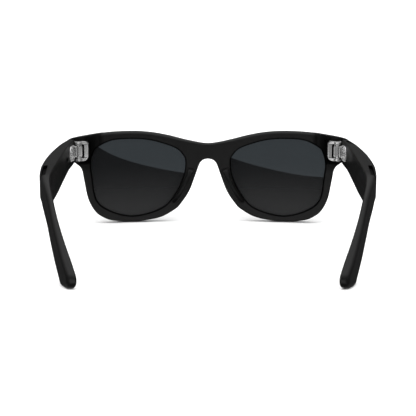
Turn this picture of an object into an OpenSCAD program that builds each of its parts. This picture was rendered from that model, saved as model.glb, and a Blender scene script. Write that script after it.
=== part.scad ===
// Glasses with a camera, speakers and folding temples.
// They stand open on the rims and the temple tips. +Z is up, +Y is the way the wearer
// looks and +X is the wearer's right. The origin lies under the middle of the object.
// Helpers work with y = 0 at the back of the bridge, and u is the distance from the
// middle plane, so that each side is the other one mirrored.

/* [Front] */
// Thickness of the rims from back to front
front_t = 5; // [4.8:0.1:5.2]
// Radius of the front's wrap around the face, seen from above
wrap_r = 300; // [290:5:310]
// Lean of the front in degrees, its top away from the face
front_tilt = 4.5; // [4:0.25:5]
// Thickness of each lens
lens_t = 1.9; // [1.7:0.1:2.1]
// Radius of each lens, which is part of a sphere
lens_r = 130; // [126:2:134]
// How deep the rims' groove holds the edge of a lens
groove_d = 0.8; // [0.6:0.1:0.8]
// Diameter of the round window over the camera, and of the one over the light
window_d = 7.8; // [7:0.1:7.8]

/* [Temples] */
// Thickness of a temple's outer wall
wall_t = 1.2; // [1:0.1:1.2]
// Thickness of the cover on a temple's inner face
cover_t = 1; // [0.8:0.1:1]
// Height of the arm behind the ear, square to its length
arm_h = 10.4; // [10.2:0.1:10.8]
// Radius of the back edge where the temple bends down behind the ear
ear_bend_r = 30; // [26:1:31]
// Length of each speaker slot
slot_len = 19.5; // [17:0.5:19.5]
// Width of each speaker slot
slot_w = 1.8; // [1.5:0.1:1.8]

/* [Hinges] */
// Height of the metal bracket on the front
hinge_h = 10.2; // [10:0.1:10.3]
// Thickness of each of the bracket's two ears
ear_t = 1.5; // [1.3:0.1:1.7]
// Diameter of the hinge pin
pin_d = 1.4; // [1.2:0.1:1.6]
// Height of the oval flange on the temple
flange_h = 8; // [7.4:0.2:8.8]

/* [Controls] */
// Length of the capture button on top of the right temple
button_len = 7.6; // [6:0.2:8]
// Width of the capture button
button_w = 2.1; // [1.8:0.1:2.3]
// Length of the power switch's slider
slider_len = 2.6; // [2:0.1:2.8]

/* [Hidden] */
$fn = 48;
left = -1;
right = 1;
gap = 0.05;
frame_black = [0.11, 0.11, 0.11];
lens_tint = [0.13, 0.14, 0.15];
pad_black = [0.14, 0.14, 0.14];
steel = [0.72, 0.72, 0.72];
board_green = [0.1, 0.3, 0.2];
flex_amber = [0.55, 0.35, 0.12];

// Front outline from the top of the bridge round to its underside, as [u, height]
front_half = [
  [0, 41.3], [4.2, 41.7], [12.2, 43.4], [21.7, 45.8], [31.1, 47.4], [40.6, 47.9],
  [52.5, 47.4], [63.6, 45.8], [70.6, 44.4], [72.7, 43.2], [73.3, 40.6], [73.1, 36.4],
  [71.8, 33.4], [69, 31.3], [65.95, 28.2], [64.8, 22.8], [62.95, 13.3], [60.2, 7.2],
  [56.5, 3.4], [50.1, 0.7], [39.2, 0], [31, 0.8], [23.8, 2.6], [17.3, 6.3], [14.5, 9],
  [9.8, 16], [6.15, 25.6], [4.3, 30.5], [2.4, 32.4], [0, 32.9]
];
// Lens opening, anticlockwise from its top
lens_points = [
  [39.7, 43.6], [30.6, 42.9], [22.6, 40.8], [16.6, 38.4], [13.6, 35.6], [12, 32.2],
  [12.7, 25.1], [16.9, 15.7], [24, 7.6], [38.2, 3.35], [50.1, 5.7], [58.1, 11.8],
  [60.5, 25.1], [61, 30.8], [59.8, 36.1], [57.5, 39.4], [50.1, 42.9]
];
lens_w = 49;
lens_u = 36.5;
lens_mid_h = 23.5;
tilt_pivot_h = 24;
bottom_u = 39.2;

// Nose pad, its outline as [u, height] and its reach towards the face as [y, height]
pad_points = [
  [7.3, 26.9], [8.2, 25], [10.3, 20.8], [13, 15.6], [15.6, 11.4], [17.8, 9.6],
  [19.1, 10.8], [16.4, 14.6], [13.9, 19], [11.6, 23.5], [10.9, 26.5], [10.4, 28.2]
];
pad_reach = [
  [2, 28.8], [-0.4, 28.6], [-2.6, 27.2], [-4.2, 23], [-4.6, 18.5], [-3.6, 13.5],
  [-1.4, 10.2], [2, 9.2]
];

// Temple seen from above, its outer and inner faces as [y, u]
temple_front_y = -12.1;
temple_end_y = -142.5;
outer_points = [
  [temple_front_y, 72.9], [-22, 74.4], [-35, 75.5], [-47, 76.4], [-58, 76.8], [-70, 76.8],
  [-82, 76.4], [-92, 75.6], [-97, 74.8], [-100, 74.1], [-104, 73], [-108, 71.6],
  [-112, 70.2], [-116, 68.8], [-120, 67.4], [-125, 65.6], [-130, 63.6], [-135, 61.5],
  [-140, 59], [-143, 57.5]
];
inner_points = [
  [temple_front_y, 68.75], [-16, 68.85], [-22, 69.36], [-28, 69.82], [-36, 70],
  [-46, 70.1], [-56, 70.2], [-74, 70.2], [-86, 70.1], [-92, 70], [-100, 69.8],
  [-106, 68.9], [-110, 67.8], [-115, 66.1], [-120, 64.2], [-125, 62], [-130, 59.6],
  [-135, 57], [-140, 54.6], [-143, 53.2]
];
// Temple seen from the side: a straight top, a bend and a straight arm at 45 degrees
top_at_zero = 45.64;
top_slope = 0.04;
back_line = 147;
low_line = back_line - arm_h * sqrt(2);
bottom_points = [
  [temple_front_y, 33], [-27, 31.6], [-42, 30.2], [-66, 28.1], [-80, 27.5], [-91, 27.3],
  [-97, 27.25], [-102, 26.3], [-106.5, 24.1], [-111, low_line - 111.2],
  [-116, low_line - 116], [-124, low_line - 124]
];
tip_back_r = 4.1;
tip_low_r = 2.5;

// Hinge
axis_u = 66.4;
axis_y = -13.1;
hinge_z = 39.3;
ear_r = 2.1;
barrel_r = 1.7;
panel_h = 5.2;
web_u = 61.5;
web_t = 2.1;
bracket_y = -9;
dowel_r = 0.58;
dowel_z = 3.4;
pin_head_r = 1.2;
flange_u = 67.9;
flange_t = 0.8;
flange_y = -15.7;
flange_len = 11.6;
flange_turn = 5;
screw_y = -21.5;
screw_r = 0.7;
screw_head_r = 1.4;

// Places inside the temples
end_piece_low = 33.3;
window_u = 67.2;
window_h = 39.2;
bore_end_y = -8.6;
contact_u = 2.5;
contact_y = 2.5;
contact_r = 0.8;
contact_low = 33;
pipe_u = 60.5;
pipe_h = 43.2;
pipe_r = 0.5;
cavity_front = -29;
cavity_rear = -93;
floor_t = 1.6;
roof_t = 1.4;
speaker_front = -79;
speaker_len = 13;
speaker_u = [71.3, 74.05];
speaker_z = [29.75, 39.8];
gasket_t = 0.5;
slot_u = 73.8;
slot_y = -88.4;
slot_turn = -3.9;
slot_top = 40.5;
slot_low = 29.3;
mesh_t = 0.3;
mesh_low = 28.3;
button_y = -20;
button_u = 71.6;
button_floor = 42.4;
switch_y = -34.25;
switch_z = 38;

function curve_point(a, b, c, d, t) =
  0.5 * (2 * b + (c - a) * t + (2 * a - 5 * b + 4 * c - d) * t * t
    + (3 * b - a - 3 * c + d) * t * t * t);
function closed_curve(p, n) = [
  for (i = [0 : len(p) - 1], k = [0 : n - 1])
    curve_point(p[(i + len(p) - 1) % len(p)], p[i], p[(i + 1) % len(p)],
      p[(i + 2) % len(p)], k / n)
];
function open_curve(p, n) = concat([
  for (i = [0 : len(p) - 2], k = [0 : n - 1])
    curve_point(p[max(i - 1, 0)], p[i], p[i + 1], p[min(i + 2, len(p) - 1)], k / n)
], [p[len(p) - 1]]);
function unit(v) = v / norm(v);
function grown(p, d) = [
  for (i = [0 : len(p) - 1])
    let (t = unit(p[(i + 1) % len(p)] - p[(i + len(p) - 1) % len(p)]))
      p[i] + d * [t[1], -t[0]]
];
function arc(c, r, a0, a1, n) = [
  for (i = [0 : n]) let (a = a0 + (a1 - a0) * i / n) c + r * [cos(a), sin(a)]
];
function wrap_y(u) = -u * u / (2 * wrap_r);
function top_z(y) = top_at_zero + top_slope * y;

last_half = len(front_half) - 1;
front_full = concat(
  front_half,
  [for (i = [last_half - 1 : -1 : 1]) [-front_half[i][0], front_half[i][1]]]
);
front_outline = closed_curve(front_full, 3);
lens_outline = closed_curve(lens_points, 4);

lens_turn = atan((wrap_y(lens_u - lens_w / 2) - wrap_y(lens_u + lens_w / 2)) / lens_w);
lens_mid_y = (wrap_y(lens_u - lens_w / 2) + wrap_y(lens_u + lens_w / 2)) / 2
  + lens_w * lens_w / (8 * lens_r) + front_t / 2;
lens_centre = [
  lens_u - lens_r * sin(lens_turn),
  lens_mid_y - lens_r * cos(lens_turn),
  lens_mid_h
];

outer_table = open_curve(outer_points, 3);
inner_table = open_curve(inner_points, 3);
bottom_curve = open_curve(bottom_points, 3);
function outer_u(y) = lookup(y, outer_table);
function inner_u(y) = lookup(y, inner_table);
function bottom_z(y) = lookup(y, bottom_curve);

top_angle = 90 + atan(top_slope);
arm_angle = 135;
ear_corner_y = (top_at_zero - back_line) / (1 - top_slope);
ear_corner = [ear_corner_y, ear_corner_y + back_line];
top_normal = [cos(top_angle), sin(top_angle)];
arm_normal = [cos(arm_angle), sin(arm_angle)];
ear_centre = ear_corner
  - ear_bend_r * (top_normal + arm_normal) / (1 + top_normal * arm_normal);
tip_back = [tip_back_r * (1 + sqrt(2)) - back_line, tip_back_r];
tip_low = [tip_low_r * (1 - sqrt(2)) - low_line, tip_low_r];
temple_side = concat(
  [[temple_front_y, top_z(temple_front_y)]],
  arc(ear_centre, ear_bend_r, top_angle, arm_angle, 10),
  arc(tip_back, tip_back_r, arm_angle, 270, 9),
  arc(tip_low, tip_low_r, 270, 315, 4),
  [for (i = [len(bottom_curve) - 1 : -1 : 0]) bottom_curve[i]]
);
core_side = [
  [-95.5, 34.4], [-95.5, 37.6], [-104.6, 37.4], [-131.2, 10.8], [-129, 8.6], [-103.4, 34.2]
];

front_lift = tilt_pivot_h * cos(front_tilt)
  + (front_t + wrap_y(bottom_u)) * sin(front_tilt);
front_most = front_t * cos(front_tilt)
  + (front_half[0][1] - tilt_pivot_h) * sin(front_tilt);
rear_most = tip_back[0] - tip_back_r;
origin_shift = -(front_most + rear_most) / 2;

// Places
module placed() {
  translate([0, origin_shift, 0]) children();
}
module leaned() {
  translate([0, 0, front_lift])
    rotate([-front_tilt, 0, 0])
      translate([0, 0, -tilt_pivot_h]) children();
}
module on_side(side) {
  if (side == left) mirror([1, 0, 0]) children();
  else children();
}

// Building shapes
module front_prism(points) {
  rotate([90, 0, 0]) linear_extrude(70, center = true) polygon(points);
}
module wrap_slab(t0, t1) {
  translate([0, -wrap_r, -5]) difference() {
    cylinder(r = wrap_r + t1, h = 60, $fn = 360);
    translate([0, 0, -1]) cylinder(r = wrap_r + t0, h = 62, $fn = 360);
  }
}
module lens_shell(t) {
  translate(lens_centre) difference() {
    sphere(r = lens_r + t / 2, $fn = 200);
    sphere(r = lens_r - t / 2, $fn = 200);
  }
}
module side_prism(points) {
  translate([45, 0, 0]) rotate([90, 0, 90]) linear_extrude(45) polygon(points);
}
// A strip between two curves that follow the temple's faces, seen from above
module plan_strip(near, far) {
  linear_extrude(60) polygon(concat(near, [for (i = [len(far) - 1 : -1 : 0]) far[i]]));
}
function stations(y0, y1, n) = [for (i = [0 : n]) y0 + (y1 - y0) * i / n];
function inner_line(y0, y1, d, n) = [for (y = stations(y0, y1, n)) [inner_u(y) + d, y]];
function outer_line(y0, y1, d, n) = [for (y = stations(y0, y1, n)) [outer_u(y) - d, y]];
function middle_line(y0, y1, d, n) = [
  for (y = stations(y0, y1, n)) [(inner_u(y) + outer_u(y)) / 2 + d, y]
];
function side_window(y0, y1, low, high) = concat(
  [[y0, top_z(y0) - high], [y1, top_z(y1) - high]],
  [for (y = stations(y1, y0, 6)) [y, bottom_z(y) + low]]
);
module block(u, y, z) {
  translate([u[0], y[0], z[0]]) cube([u[1] - u[0], y[1] - y[0], z[1] - z[0]]);
}
module rod_y(u, y0, y1, h, r) {
  translate([u, y0, h]) rotate([-90, 0, 0]) cylinder(r = r, h = y1 - y0);
}
module rod_x(u0, u1, y, z, r) {
  translate([u0, y, z]) rotate([0, 90, 0]) cylinder(r = r, h = u1 - u0);
}
module rod_z(u, y, z0, z1, r) {
  translate([u, y, z0]) cylinder(r = r, h = z1 - z0);
}

// Front
module end_piece() {
  intersection() {
    leaned() intersection() {
      front_prism(front_outline);
      wrap_slab(-12, front_t);
    }
    translate([0, 0, end_piece_low]) linear_extrude(20) polygon([
      [57, -5.2], [58.5, -6.3], [60, -7.9], [61.6, -9.8], [63.5, -11.2], [66.5, -12],
      [75, -12], [75, -2], [57, 0]
    ]);
  }
}
flex_centre = [
  [0, 37.4], [7, 38.9], [14, 41.3], [22, 43.6], [31, 45.4], [40, 45.95], [50, 45.5],
  [57, 44.6], [64.3, 41.4]
];
function flex_band(h) = concat(
  [for (p = flex_centre) p + [0, h / 2]],
  [for (i = [len(flex_centre) - 1 : -1 : 0]) flex_centre[i] - [0, h / 2]]
);
module flex_strip(h, t0, t1) {
  intersection() {
    union() {
      for (side = [left, right]) on_side(side) front_prism(flex_band(h));
    }
    wrap_slab(t0, t1);
  }
}
module bracket_pocket() {
  block([web_u - 0.1, 68.9], [-20, bracket_y],
    [hinge_z - hinge_h / 2 - 0.1, hinge_z + hinge_h / 2 + 0.1]);
  for (z = [-dowel_z, dowel_z])
    rod_y(web_u + web_t / 2, bracket_y - 0.1, bracket_y + 2.6, hinge_z + z, dowel_r + 0.04);
}
module front_frame() {
  color(frame_black) placed() difference() {
    union() {
      leaned() intersection() {
        front_prism(front_outline);
        wrap_slab(0, front_t);
      }
      for (side = [left, right]) on_side(side) end_piece();
    }
    for (side = [left, right]) on_side(side) {
      leaned() {
        front_prism(lens_outline);
        intersection() {
          front_prism(grown(lens_outline, groove_d + gap));
          lens_shell(lens_t + 2 * gap);
        }
        rod_y(window_u, bore_end_y, 5, window_h, window_d / 2 + gap);
      }
      bracket_pocket();
    }
    leaned() {
      flex_strip(2, 2.1, 2.7);
      block([-1.4, 1.4], [1.9, 3.1], [30, 35.6]);
      for (x = [-contact_u, contact_u]) rod_z(x, contact_y, 30, 35.6, contact_r + gap);
      rod_y(pipe_u, -14, -3.8, pipe_h, pipe_r + gap);
    }
  }
}
module lens(side) {
  color(lens_tint) placed() on_side(side) leaned() intersection() {
    front_prism(grown(lens_outline, groove_d));
    lens_shell(lens_t);
  }
}
module nose_pad(side) {
  color(pad_black) placed() on_side(side) leaned() intersection() {
    front_prism(closed_curve(pad_points, 2));
    rotate([90, 0, 90]) linear_extrude(30) polygon(closed_curve(pad_reach, 2));
    translate([0, -wrap_r, 0]) cylinder(r = wrap_r - gap, h = 50, $fn = 360);
  }
}
module round_window(side) {
  color("black") placed() on_side(side) leaned() intersection() {
    rod_y(window_u, -9, 4, window_h, window_d / 2);
    wrap_slab(front_t - 0.9, front_t - 0.1);
  }
}
module camera_barrel() {
  color("dimgray") placed() on_side(left) leaned() {
    rod_y(window_u, -7.4, -4.7, window_h, 2.9);
    rod_y(window_u, -7.4, -6.6, window_h, 3.4);
  }
}
module camera_board() {
  color(board_green) placed() on_side(left) leaned()
    block([window_u - 2.4, window_u + 2.4], [-8.4, -7.5], [window_h - 2.4, window_h + 2.4]);
}
module capture_led_board() {
  color(board_green) placed() on_side(right) leaned() {
    rod_y(window_u, -6.6, -5.8, window_h, 3.3);
    block([window_u - 0.9, window_u + 0.9], [-5.9, -5], [window_h - 0.7, window_h + 0.7]);
  }
}
module front_flex() {
  color(flex_amber) placed() leaned() flex_strip(1.8, 2.2, 2.6);
}
module bridge_microphone() {
  color("silver") placed() leaned() block([-1.35, 1.35], [1.95, 3.05], [33.9, 35.5]);
}
module charging_contacts() {
  color("gold") placed() leaned()
    for (x = [-contact_u, contact_u]) rod_z(x, contact_y, contact_low, 35.5, contact_r);
}
module notification_light_pipe() {
  color("gray") placed() leaned() rod_y(pipe_u, -8, -4.15, pipe_h, pipe_r);
}

// Hinges
module hinge_bracket(side) {
  color(steel) placed() on_side(side) difference() {
    union() {
      block([web_u, web_u + web_t], [axis_y - 0.3, bracket_y - gap],
        [hinge_z - hinge_h / 2, hinge_z + hinge_h / 2]);
      for (z = [hinge_z - hinge_h / 2, hinge_z + hinge_h / 2 - ear_t]) {
        translate([0, 0, z]) linear_extrude(ear_t) polygon([
          [web_u, bracket_y - 0.5], [web_u, axis_y - 0.3], [axis_u - 1.8, axis_y - 1.1],
          [axis_u, axis_y - ear_r], [axis_u + ear_r, axis_y], [axis_u + ear_r, bracket_y - 0.5]
        ]);
        rod_z(axis_u, axis_y, z, z + ear_t, ear_r);
      }
      for (z = [-dowel_z, dowel_z])
        rod_y(web_u + web_t / 2, bracket_y - 0.5, bracket_y + 2.5, hinge_z + z, dowel_r);
    }
    rod_z(axis_u, axis_y, 20, 60, pin_d / 2 + 0.02);
    rod_z(axis_u, axis_y, hinge_z + hinge_h / 2 - 0.6, 60, pin_head_r + gap);
  }
}
module hinge_pin(side) {
  color("gainsboro") placed() on_side(side) {
    rod_z(axis_u, axis_y, hinge_z - hinge_h / 2, hinge_z + hinge_h / 2 - 0.1, pin_d / 2);
    rod_z(axis_u, axis_y, hinge_z + hinge_h / 2 - 0.55, hinge_z + hinge_h / 2 - 0.1, pin_head_r);
  }
}
barrel_h = hinge_h - 2 * ear_t - 0.2;
module flange_turned() {
  translate([flange_u, flange_y, 0]) rotate([0, 0, flange_turn])
    translate([-flange_u, -flange_y, 0]) children();
}
module hinge_knuckle(side) {
  flange_rear = flange_y - flange_len;
  half = flange_h / 2;
  color(steel) placed() on_side(side) difference() {
    union() {
      rod_z(axis_u, axis_y, hinge_z - barrel_h / 2, hinge_z + barrel_h / 2, barrel_r);
      block([axis_u - 2, axis_u + 0.7], [axis_y - 1.75, axis_y - 0.5],
        [hinge_z - panel_h / 2, hinge_z + panel_h / 2]);
      block([axis_u + 0.7, flange_u + flange_t], [flange_y - 0.5, axis_y],
        [hinge_z - barrel_h / 2, hinge_z + barrel_h / 2]);
      flange_turned() {
        block([flange_u, flange_u + flange_t], [flange_rear + half, flange_y - half],
          [hinge_z - half, hinge_z + half]);
        for (y = [flange_rear + half, flange_y - half])
          rod_x(flange_u, flange_u + flange_t, y, hinge_z, half);
      }
    }
    rod_z(axis_u, axis_y, 20, 60, pin_d / 2 + 0.04);
    flange_turned() {
      rod_x(60, 75, screw_y, hinge_z, screw_r + gap);
      rod_x(60, flange_u + 0.45, screw_y, hinge_z, screw_head_r + 0.1);
    }
  }
}
module knuckle_screw(side) {
  color("gainsboro") placed() on_side(side) flange_turned() difference() {
    union() {
      rod_x(flange_u - 0.1, flange_u + 0.4, screw_y, hinge_z, screw_head_r);
      rod_x(flange_u, 71.5, screw_y, hinge_z, screw_r);
    }
    block([60, flange_u + 0.15], [screw_y - 0.2, screw_y + 0.2], [30, 50]);
  }
}

// Temples
module temple_body() {
  intersection() {
    side_prism(temple_side);
    plan_strip(inner_line(temple_front_y, temple_end_y, 0, 60),
      outer_line(temple_front_y, temple_end_y, 0, 60));
  }
}
module temple_cavity() {
  intersection() {
    side_prism(side_window(cavity_front, cavity_rear, floor_t, roof_t));
    plan_strip(inner_line(cavity_front, cavity_rear, cover_t - 0.5, 20),
      outer_line(cavity_front, cavity_rear, wall_t, 20));
  }
  intersection() {
    side_prism(side_window(cavity_front + 1.5, cavity_rear - 1.5, floor_t - 0.6, roof_t - 0.5));
    plan_strip(inner_line(cavity_front + 1.5, cavity_rear - 1.5, -2, 20),
      inner_line(cavity_front + 1.5, cavity_rear - 1.5, cover_t + gap, 20));
  }
}
module core_space(d) {
  intersection() {
    side_prism(grown(core_side, d));
    plan_strip(middle_line(-94, -133, -0.6 - d, 26), middle_line(-94, -133, 0.6 + d, 26));
  }
}
module speaker_slot(d, z0, z1) {
  translate([slot_u, slot_y, 0]) rotate([0, 0, slot_turn])
    block([d - slot_w / 2, slot_w / 2 - d], [d - slot_len / 2, slot_len / 2 - d], [z0, z1]);
}
module temple_shell(side) {
  color(frame_black) placed() on_side(side) difference() {
    temple_body();
    temple_cavity();
    core_space(gap);
    block([71.4, 73], [-97, -92], [35, 37]);
    speaker_slot(0, slot_top, 60);
    speaker_slot(0, 20, slot_low);
    flange_turned() rod_x(60, 71.6, screw_y, hinge_z, screw_r + 0.02);
    rod_z(71.8, -42, 20, 36, 0.45);
    if (side == right) {
      button_shape(gap, button_floor, 60);
      block([button_u - 1.3, button_u + 1.3], [button_y - 2.2, button_y + 2.2], [40.2, 42]);
      rod_z(button_u, button_y, 41.5, 43, 0.8);
      block([71.2, 72.2], [-30, -21], [40.6, 41.6]);
    }
  }
}
module temple_cover(side) {
  color("dimgray") placed() on_side(side) difference() {
    intersection() {
      side_prism(side_window(cavity_front + 1.4, cavity_rear - 1.4, floor_t - 0.5, roof_t - 0.4));
      plan_strip(inner_line(cavity_front + 1.4, cavity_rear - 1.4, 0, 20),
        inner_line(cavity_front + 1.4, cavity_rear - 1.4, cover_t, 20));
    }
    if (side == left)
      block([60, 75], [switch_y - 2.25, switch_y + 2.25], [switch_z - 0.9, switch_z + 0.9]);
  }
}
module temple_core(side) {
  color("silver") placed() on_side(side) core_space(0);
}
module speaker(side) {
  rear = speaker_front - speaker_len;
  color([0.2, 0.2, 0.22]) placed() on_side(side) {
    block(speaker_u, [rear, speaker_front], speaker_z);
    block([71.9, 73.6], [rear + 2, speaker_front - 2], [speaker_z[1] - 0.1, speaker_z[1] + 0.3]);
  }
}
module speaker_gasket(side) {
  rear = speaker_front - speaker_len;
  color([0.25, 0.25, 0.25]) placed() on_side(side) difference() {
    union() {
      for (z = [speaker_z[0] - gasket_t - gap, speaker_z[1] + gap])
        block(speaker_u, [rear, speaker_front], [z, z + gasket_t]);
    }
    block([71.8, 73.7], [rear + 1.8, speaker_front - 1.8], [20, 50]);
  }
}
module speaker_mesh(side, z) {
  color([0.05, 0.05, 0.05]) placed() on_side(side) speaker_slot(gap, z, z + mesh_t);
}
module microphone(side) {
  color("silver") placed() on_side(side) block([71.2, 72.4], [-43.4, -40.6], [32, 33.1]);
}
module temple_flex(side, y0) {
  color(flex_amber) placed() on_side(side) intersection() {
    plan_strip(inner_line(y0, speaker_front + 0.2, cover_t + 0.1, 20),
      inner_line(y0, speaker_front + 0.2, cover_t + 0.3, 20));
    block([60, 80], [-95, -20], [35, 38]);
  }
}
module battery() {
  color("lightsteelblue") placed() on_side(left) block([71.6, 74.65], [-74, -46.5], [34, 41]);
}
module battery_board() {
  color(board_green) placed() on_side(left) block([72.7, 73.5], [-45.5, -40], [35, 42]);
}
module power_switch_housing() {
  color([0.15, 0.15, 0.15]) placed() on_side(left) difference() {
    block([71.6, 73.4], [-38.3, -30], [switch_z - 2.6, switch_z + 2.6]);
    block([71, 72.05], [-37.6, -30.6], [switch_z - 0.6, switch_z + 0.6]);
  }
}
module power_switch_slider() {
  color([0.2, 0.2, 0.2]) placed() on_side(left) {
    y1 = switch_y + 2.1;
    block([69.5, 71.15], [y1 - slider_len, y1], [switch_z - 0.8, switch_z + 0.8]);
    block([71.1, 71.5], [y1 - slider_len - 0.9, y1 + 0.9], [switch_z - 1.7, switch_z + 1.7]);
    block([71.45, 71.95], [y1 - slider_len + 0.4, y1 - 0.4], [switch_z - 0.5, switch_z + 0.5]);
  }
}
module main_board() {
  color(board_green) placed() on_side(right) block([72.9, 73.4], [-76, -31], [35, 41]);
}
module processor_shield() {
  color("silver") placed() on_side(right) block([71.7, 72.85], [-60, -46], [35.6, 41]);
}
module memory_chip() {
  color([0.1, 0.1, 0.1]) placed() on_side(right) block([72.1, 72.85], [-71, -63], [35.8, 40.6]);
}
module wall_film(y0, y1, z0, z1) {
  intersection() {
    plan_strip(outer_line(y0, y1, wall_t + 0.3, 14), outer_line(y0, y1, wall_t + 0.1, 14));
    block([60, 80], [y1 - 1, y0 + 1], [z0, z1]);
  }
}
module touchpad_sensor() {
  color([0.45, 0.35, 0.15]) placed() on_side(right) wall_film(-42, -76, 34.6, 41);
}
module antenna_flex() {
  color([0.6, 0.45, 0.2]) placed() on_side(right) wall_film(-30, -40, 41.2, 42.5);
}
module button_shape(d, z0, z1) {
  r = button_w / 2 + d;
  run = (button_len - button_w) / 2;
  block([button_u - r, button_u + r], [button_y - run, button_y + run], [z0, z1]);
  for (y = [-run, run]) rod_z(button_u, button_y + y, z0, z1, r);
}
module capture_button() {
  color([0.06, 0.06, 0.06]) placed() on_side(right) button_shape(-gap, button_floor + 0.5, 44.6);
}
module capture_button_switch() {
  color("silver") placed() on_side(right) {
    block([button_u - 1.2, button_u + 1.2], [button_y - 2.1, button_y + 2.1], [40.3, 41.9]);
    rod_z(button_u, button_y, 41.8, 42.35, 0.7);
  }
}

front_frame();
lens(left);  // left_lens
lens(right);  // right_lens
nose_pad(left);  // left_nose_pad
nose_pad(right);  // right_nose_pad
round_window(left);  // camera_window
camera_barrel();
camera_board();
round_window(right);  // capture_led_window
capture_led_board();
front_flex();
bridge_microphone();
charging_contacts();
notification_light_pipe();
hinge_bracket(left);  // left_hinge_bracket
hinge_bracket(right);  // right_hinge_bracket
hinge_pin(left);  // left_hinge_pin
hinge_pin(right);  // right_hinge_pin
temple_shell(left);  // left_temple_shell
temple_cover(left);  // left_temple_cover
temple_core(left);  // left_temple_core
hinge_knuckle(left);  // left_hinge_knuckle
knuckle_screw(left);  // left_hinge_knuckle_screw
speaker(left);  // left_speaker
speaker_gasket(left);  // left_speaker_gasket
speaker_mesh(left, slot_top);  // left_top_speaker_mesh
speaker_mesh(left, mesh_low);  // left_bottom_speaker_mesh
microphone(left);  // left_microphone
temple_flex(left, -39);  // left_flex
battery();
battery_board();
power_switch_housing();
power_switch_slider();
temple_shell(right);  // right_temple_shell
temple_cover(right);  // right_temple_cover
temple_core(right);  // right_temple_core
hinge_knuckle(right);  // right_hinge_knuckle
knuckle_screw(right);  // right_hinge_knuckle_screw
speaker(right);  // right_speaker
speaker_gasket(right);  // right_speaker_gasket
speaker_mesh(right, slot_top);  // right_top_speaker_mesh
speaker_mesh(right, mesh_low);  // right_bottom_speaker_mesh
microphone(right);  // right_microphone
temple_flex(right, -30);  // right_flex
main_board();
processor_shield();
memory_chip();
touchpad_sensor();
antenna_flex();
capture_button_switch();
capture_button();
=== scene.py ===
"""Glasses with a camera, speakers and folding temples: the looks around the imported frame.
The shapes are worked out in millimetres, with y = 0 at the back of the bridge as in the
CAD, and are moved into the frame's metres when their meshes are made. u is the distance
from the middle plane, so that each side is the other one mirrored.
"""
import math

import bpy
import numpy as np
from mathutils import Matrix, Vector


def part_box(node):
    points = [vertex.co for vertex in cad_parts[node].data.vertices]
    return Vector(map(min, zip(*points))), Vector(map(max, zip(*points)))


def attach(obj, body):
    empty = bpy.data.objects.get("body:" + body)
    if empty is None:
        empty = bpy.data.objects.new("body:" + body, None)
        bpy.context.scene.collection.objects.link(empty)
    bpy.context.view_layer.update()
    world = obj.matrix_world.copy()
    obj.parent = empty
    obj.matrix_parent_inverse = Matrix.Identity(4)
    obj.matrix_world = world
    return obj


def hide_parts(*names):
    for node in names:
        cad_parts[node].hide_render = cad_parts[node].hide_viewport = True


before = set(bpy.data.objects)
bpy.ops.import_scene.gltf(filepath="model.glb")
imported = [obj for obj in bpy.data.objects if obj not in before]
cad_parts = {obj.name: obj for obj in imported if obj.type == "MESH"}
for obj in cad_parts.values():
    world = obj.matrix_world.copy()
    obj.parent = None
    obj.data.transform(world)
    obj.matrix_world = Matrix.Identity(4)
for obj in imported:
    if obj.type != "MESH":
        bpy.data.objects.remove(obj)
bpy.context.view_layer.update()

MM = 0.001
LEFT = -1
RIGHT = 1
SIDES = {LEFT: "left", RIGHT: "right"}

# ---------------------------------------------------------------- sizes, in mm
FRONT_T = 5.0
WRAP_R = 300.0
TILT = math.radians(4.5)
TILT_PIVOT = 24.0
BOTTOM_U = 39.2
LENS_T = 1.9
LENS_R = 130.0
LENS_W = 49.0
LENS_U = 36.5
LENS_MID = 23.5
GROOVE = 0.8
GAP = 0.05
AXIS_U = 66.4
AXIS_Y = -13.1
HINGE_Z = 39.3
HINGE_H = 10.2
EAR_T = 1.5
EAR_R = 2.1
WEB_U = 61.5
WEB_T = 2.1
BRACKET_Y = -9.0
BARREL_R = 1.7
PANEL_H = 5.2
ARM_HALF = 2.9
FLANGE_U = 67.9
FLANGE_T = 0.8
FLANGE_Y = -15.7
FLANGE_REAR = -27.3
FLANGE_H = 8.0
FLANGE_TURN = math.radians(5)
SCREW_Y = -21.5
PIN_R = 0.7
WINDOW_U = 67.2
WINDOW_W = 39.2
WINDOW_R = 3.9
BORE_END = -8.6
PIPE_U = 60.5
PIPE_W = 43.2
PIPE_R = 0.55
END_LOW = 33.3
POCKET_U = 68.9
CONTACT_U = 2.5
CONTACT_R = 0.85
DOWEL_Z = 3.4
DOWEL_R = 0.58
PIN_HEAD_R = 1.2
SCREW_R = 0.7
SCREW_HEAD_R = 1.4
SCREW_END = 71.6
MIC_U = 71.8
MIC_Y = -42.0
MIC_R = 0.45
TEMPLE_Y = -12.1
CAVITY_FRONT = -29.0
CAVITY_REAR = -93.0
WALL = 1.2
COVER_T = 1.0
FLOOR_T = 1.6
ROOF_T = 1.4
SLOT_U = 73.8
SLOT_Y = -88.4
SLOT_TURN = math.radians(-3.9)
SLOT_W = 1.8
SLOT_LEN = 19.5
SLOT_TOP = 40.6
SLOT_LOW = 29.3
BUTTON_U = 71.6
BUTTON_Y = -20.0
BUTTON_FLOOR = 42.4
BUTTON_TOP = 44.6
BUTTON_LEN = 7.6
BUTTON_W = 2.1
SWITCH_Y = -34.25
SWITCH_Z = 38.0
SLIDER_LEN = 2.6

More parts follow.
